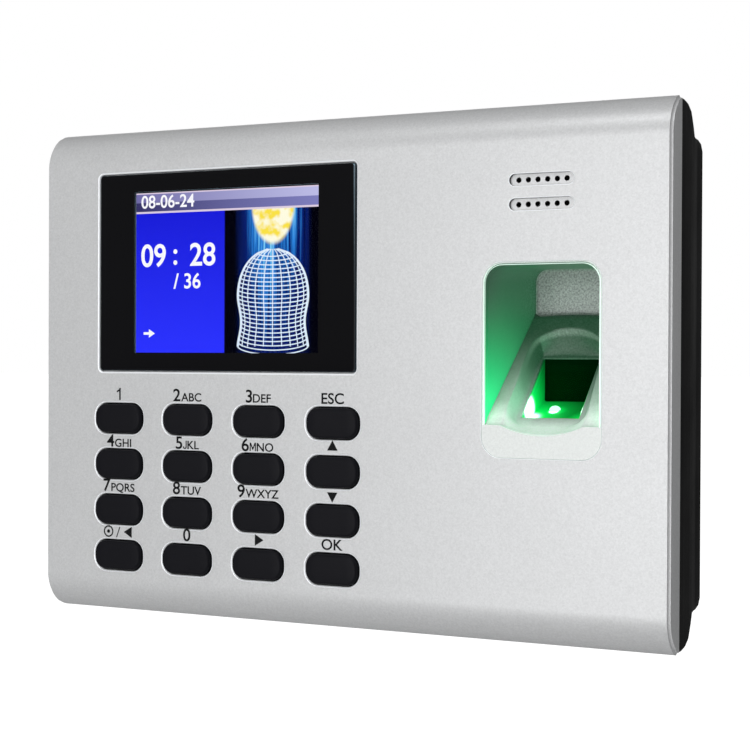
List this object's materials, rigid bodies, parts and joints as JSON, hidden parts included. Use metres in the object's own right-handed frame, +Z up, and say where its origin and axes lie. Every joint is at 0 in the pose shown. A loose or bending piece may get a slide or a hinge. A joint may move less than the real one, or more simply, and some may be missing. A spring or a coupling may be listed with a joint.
{
  "type": "fingerprint scanner terminal",
  "caption": "Wall-mounted fingerprint terminal with a flat silver face, a small colour screen, a black keypad, a lit finger recess and a black rear shell on a wall plate.",
  "frame": {"origin": "centre of the wall plate's back face, which lies against the wall", "axes": "+X to the right of someone facing the terminal, +Y from the face into the wall, +Z up"},
  "size_m": [0.18, 0.0381, 0.1316],
  "materials": {
    "silver_cover": "silver metallic paint on moulded plastic, fine sparkle",
    "black_shell": "fine moulded texture, satin",
    "black_plastic": "moulded, matte",
    "grey_bezel": "light grey moulded plastic, satin",
    "black_silicone": "smooth silicone rubber, satin",
    "black_foam": "closed-cell foam",
    "window_acrylic": "clear acrylic with a black printed border, polished",
    "lcd_glass": "colour LCD, lit",
    "sensor_glass": "optical glass, lit green from below",
    "green_light": "lit diode",
    "speaker_paper": "coated paper cone",
    "flex_film": "amber polyimide film",
    "wire_jacket": "insulated wire",
    "circuit_board": "green solder mask on glass-fibre board",
    "green_plastic": "moulded terminal block",
    "white_plastic": "moulded, satin",
    "steel": "plain steel",
    "black_steel": "black powder coat on sheet steel"
  },
  "bodies": {
    "terminal": {"front_cover": "silver_cover", "display_window": "window_acrylic", "window_adhesive": "black_foam", "lcd_panel": "lcd_glass", "lcd_tray": "steel", "lcd_cable": "flex_film", "keypad_mat": "black_silicone", "keypad_board": "circuit_board", "speaker_foam": "black_foam", "speaker_basket": "black_plastic", "speaker_cone": "speaker_paper", "speaker_magnet": "steel", "speaker_cable": "wire_jacket", "sensor_bezel": "grey_bezel", "sensor_glass": "sensor_glass", "sensor_housing": "black_plastic", "sensor_board": "circuit_board", "image_sensor": "black_plastic", "sensor_light_lower": "green_light", "sensor_light_upper": "green_light", "sensor_cable": "wire_jacket", "main_board": "circuit_board", "processor": "black_plastic", "coin_cell": "steel", "network_socket": "steel", "usb_socket": "steel", "power_socket": "black_plastic", "terminal_block": "green_plastic", "tamper_switch": "black_plastic", "rear_shell": "black_shell", "wall_plate": "black_steel", "lock_screw": "steel", "board_screw_1": "steel", "case_screw_1": "steel", "board_screw_2": "steel", "case_screw_2": "steel", "board_screw_3": "steel", "case_screw_3": "steel", "board_screw_4": "steel", "case_screw_4": "steel"},
    "key_1": {"key_1": "black_silicone"},
    "key_2": {"key_2": "black_silicone"},
    "key_3": {"key_3": "black_silicone"},
    "key_esc": {"key_esc": "black_silicone"},
    "key_4": {"key_4": "black_silicone"},
    "key_5": {"key_5": "black_silicone"},
    "key_6": {"key_6": "black_silicone"},
    "key_up": {"key_up": "black_silicone"},
    "key_7": {"key_7": "black_silicone"},
    "key_8": {"key_8": "black_silicone"},
    "key_9": {"key_9": "black_silicone"},
    "key_down": {"key_down": "black_silicone"},
    "key_left": {"key_left": "black_silicone"},
    "key_0": {"key_0": "black_silicone"},
    "key_right": {"key_right": "black_silicone"},
    "key_ok": {"key_ok": "black_silicone"},
    "tamper_plunger": {"tamper_plunger": "white_plastic"}
  },
  "joints": [
    {"name": "key_1_press", "type": "slide", "parent": "terminal", "child": "key_1", "axis": [0, 1, 0], "range_m": [0, 0.001], "stiffness_N_per_m": 1200, "springref_m": -0.0003},
    {"name": "key_2_press", "type": "slide", "parent": "terminal", "child": "key_2", "axis": [0, 1, 0], "range_m": [0, 0.001], "stiffness_N_per_m": 1200, "springref_m": -0.0003},
    {"name": "key_3_press", "type": "slide", "parent": "terminal", "child": "key_3", "axis": [0, 1, 0], "range_m": [0, 0.001], "stiffness_N_per_m": 1200, "springref_m": -0.0003},
    {"name": "key_esc_press", "type": "slide", "parent": "terminal", "child": "key_esc", "axis": [0, 1, 0], "range_m": [0, 0.001], "stiffness_N_per_m": 1200, "springref_m": -0.0003},
    {"name": "key_4_press", "type": "slide", "parent": "terminal", "child": "key_4", "axis": [0, 1, 0], "range_m": [0, 0.001], "stiffness_N_per_m": 1200, "springref_m": -0.0003},
    {"name": "key_5_press", "type": "slide", "parent": "terminal", "child": "key_5", "axis": [0, 1, 0], "range_m": [0, 0.001], "stiffness_N_per_m": 1200, "springref_m": -0.0003},
    {"name": "key_6_press", "type": "slide", "parent": "terminal", "child": "key_6", "axis": [0, 1, 0], "range_m": [0, 0.001], "stiffness_N_per_m": 1200, "springref_m": -0.0003},
    {"name": "key_up_press", "type": "slide", "parent": "terminal", "child": "key_up", "axis": [0, 1, 0], "range_m": [0, 0.001], "stiffness_N_per_m": 1200, "springref_m": -0.0003},
    {"name": "key_7_press", "type": "slide", "parent": "terminal", "child": "key_7", "axis": [0, 1, 0], "range_m": [0, 0.001], "stiffness_N_per_m": 1200, "springref_m": -0.0003},
    {"name": "key_8_press", "type": "slide", "parent": "terminal", "child": "key_8", "axis": [0, 1, 0], "range_m": [0, 0.001], "stiffness_N_per_m": 1200, "springref_m": -0.0003},
    {"name": "key_9_press", "type": "slide", "parent": "terminal", "child": "key_9", "axis": [0, 1, 0], "range_m": [0, 0.001], "stiffness_N_per_m": 1200, "springref_m": -0.0003},
    {"name": "key_down_press", "type": "slide", "parent": "terminal", "child": "key_down", "axis": [0, 1, 0], "range_m": [0, 0.001], "stiffness_N_per_m": 1200, "springref_m": -0.0003},
    {"name": "key_left_press", "type": "slide", "parent": "terminal", "child": "key_left", "axis": [0, 1, 0], "range_m": [0, 0.001], "stiffness_N_per_m": 1200, "springref_m": -0.0003},
    {"name": "key_0_press", "type": "slide", "parent": "terminal", "child": "key_0", "axis": [0, 1, 0], "range_m": [0, 0.001], "stiffness_N_per_m": 1200, "springref_m": -0.0003},
    {"name": "key_right_press", "type": "slide", "parent": "terminal", "child": "key_right", "axis": [0, 1, 0], "range_m": [0, 0.001], "stiffness_N_per_m": 1200, "springref_m": -0.0003},
    {"name": "key_ok_press", "type": "slide", "parent": "terminal", "child": "key_ok", "axis": [0, 1, 0], "range_m": [0, 0.001], "stiffness_N_per_m": 1200, "springref_m": -0.0003},
    {"name": "tamper_press", "type": "slide", "parent": "terminal", "child": "tamper_plunger", "axis": [0, -1, 0], "range_m": [0, 0.0015], "stiffness_N_per_m": 600, "springref_m": -0.0005}
  ]
}
